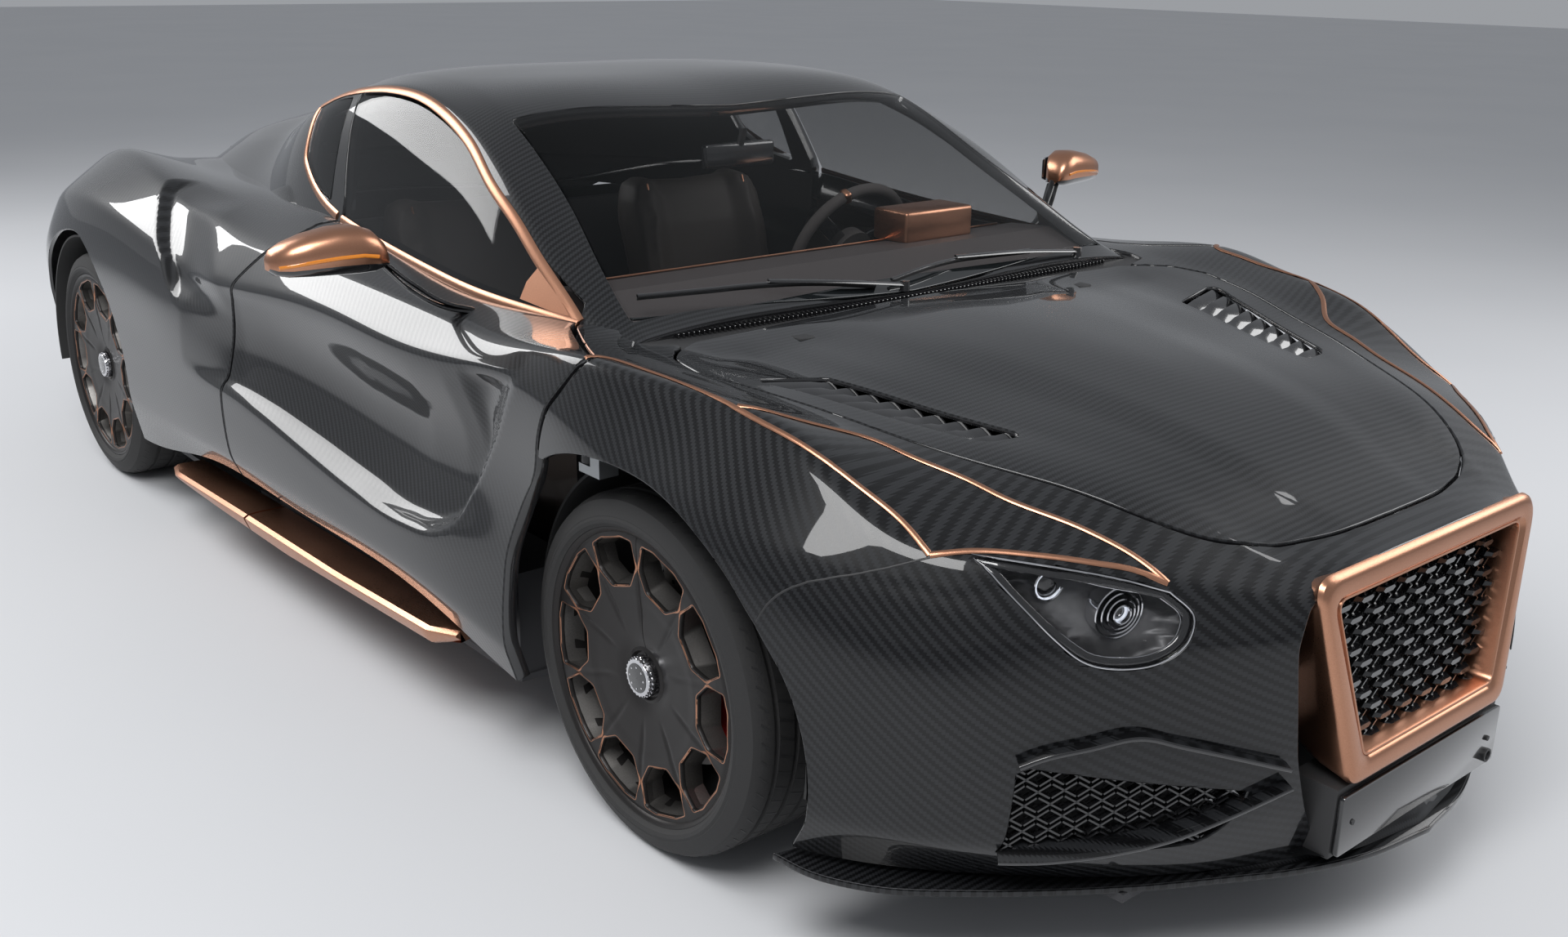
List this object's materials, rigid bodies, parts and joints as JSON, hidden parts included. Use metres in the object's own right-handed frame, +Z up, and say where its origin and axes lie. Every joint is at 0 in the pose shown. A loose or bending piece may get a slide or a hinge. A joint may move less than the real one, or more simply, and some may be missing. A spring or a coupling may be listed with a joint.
{
  "type": "two-seat electric hypercar",
  "caption": "Low carbon-bodied two-seat coupe with copper grille, long bonnet, battery behind the seats, opening doors and bonnet, steered front wheels and rolling tyres.",
  "frame": {"origin": "centre of the bounding box's bottom face, on the ground under the car", "axes": "+Z up, -Y to the front of the car, +X to the car's left side"},
  "size_m": [2.446, 4.733, 1.3075],
  "materials": {
    "carbon": "glossy clear-coated black twill",
    "copper": "satin copper",
    "clear_glass": "clear",
    "tyre_rubber": "matt black",
    "dark_alloy": "satin dark brown-black",
    "suspension_metal": "satin grey",
    "frame_alloy": "satin grey",
    "carbon_matt": "matt black twill",
    "black_plastic": "matt black",
    "lamp_glass": "clear",
    "tail_red": "glossy red",
    "trim_leather": "dark with copper piping"
  },
  "bodies": {
    "root": {"front_clam": "carbon", "rear_clam": "carbon", "roof_shell": "carbon", "windscreen": "clear_glass", "rear_windows": "clear_glass", "rear_sill_blades": "copper", "rear_suspension": "suspension_metal", "front_suspension": "suspension_metal", "undertray": "carbon_matt", "tub": "carbon_matt", "front_frame": "frame_alloy", "rear_frame": "frame_alloy", "battery": "frame_alloy", "drive_unit": "frame_alloy", "wheel_liners": "black_plastic", "luggage_tub": "black_plastic", "grille_frame": "copper", "headlamps": "lamp_glass", "front_meshes": "black_plastic", "nose_panel": "carbon", "splitter": "carbon", "tail_lamps": "tail_red", "diffuser": "carbon", "spoiler": "carbon", "dashboard": "trim_leather", "instrument_box": "copper", "seats": "trim_leather", "wipers": "black_plastic"},
    "bonnet": {"bonnet": "carbon"},
    "steering_wheel": {"steering_wheel": "trim_leather"},
    "door_left": {"door_left": "carbon", "door_glass_left": "clear_glass", "window_trim_left": "copper", "sill_blade_left": "copper", "mirror_left": "copper"},
    "knuckle_left": {"knuckle_left": "suspension_metal"},
    "wheel_front_left": {"tyre_front_left": "tyre_rubber", "rim_front_left": "dark_alloy"},
    "wheel_rear_left": {"tyre_rear_left": "tyre_rubber", "rim_rear_left": "dark_alloy"},
    "door_right": {"door_right": "carbon", "door_glass_right": "clear_glass", "window_trim_right": "copper", "sill_blade_right": "copper", "mirror_right": "copper"},
    "knuckle_right": {"knuckle_right": "suspension_metal"},
    "wheel_front_right": {"tyre_front_right": "tyre_rubber", "rim_front_right": "dark_alloy"},
    "wheel_rear_right": {"tyre_rear_right": "tyre_rubber", "rim_rear_right": "dark_alloy"}
  },
  "joints": [
    {"name": "door_left_hinge", "type": "hinge", "parent": "root", "child": "door_left", "pos_m": [0.945, -1.226, 0.764], "axis": [0, 0, -1], "range_deg": [0, 62]},
    {"name": "door_right_hinge", "type": "hinge", "parent": "root", "child": "door_right", "pos_m": [-0.945, -1.226, 0.764], "axis": [0, 0, 1], "range_deg": [0, 62]},
    {"name": "bonnet_hinge", "type": "hinge", "parent": "root", "child": "bonnet", "pos_m": [0, -1.092, 0.872], "axis": [-1, 0, 0], "range_deg": [0, 50]},
    {"name": "steer_left", "type": "hinge", "parent": "root", "child": "knuckle_left", "pos_m": [0.735, -1.316, 0.343], "axis": [0, 0, 1], "range_deg": [-28, 28]},
    {"name": "steer_right", "type": "hinge", "parent": "root", "child": "knuckle_right", "pos_m": [-0.735, -1.316, 0.343], "axis": [0, 0, 1], "range_deg": [-28, 28]},
    {"name": "wheel_front_left_spin", "type": "hinge", "parent": "knuckle_left", "child": "wheel_front_left", "pos_m": [0.8025, -1.316, 0.343], "axis": [1, 0, 0], "continuous": true},
    {"name": "wheel_rear_left_spin", "type": "hinge", "parent": "root", "child": "wheel_rear_left", "pos_m": [0.8375, 1.484, 0.347], "axis": [1, 0, 0], "continuous": true},
    {"name": "wheel_front_right_spin", "type": "hinge", "parent": "knuckle_right", "child": "wheel_front_right", "pos_m": [-0.8025, -1.316, 0.343], "axis": [1, 0, 0], "continuous": true},
    {"name": "wheel_rear_right_spin", "type": "hinge", "parent": "root", "child": "wheel_rear_right", "pos_m": [-0.8375, 1.484, 0.347], "axis": [1, 0, 0], "continuous": true},
    {"name": "steering_wheel_turn", "type": "hinge", "parent": "root", "child": "steering_wheel", "pos_m": [0.35, -0.47, 0.862], "axis": [0, 0.9207, 0.3903], "range_deg": [-370, 370]}
  ],
  "couplings": [
    {"joint": "steer_right", "follows": "steer_left", "ratio": 1},
    {"joint": "steering_wheel_turn", "follows": "steer_left", "ratio": 13}
  ]
}
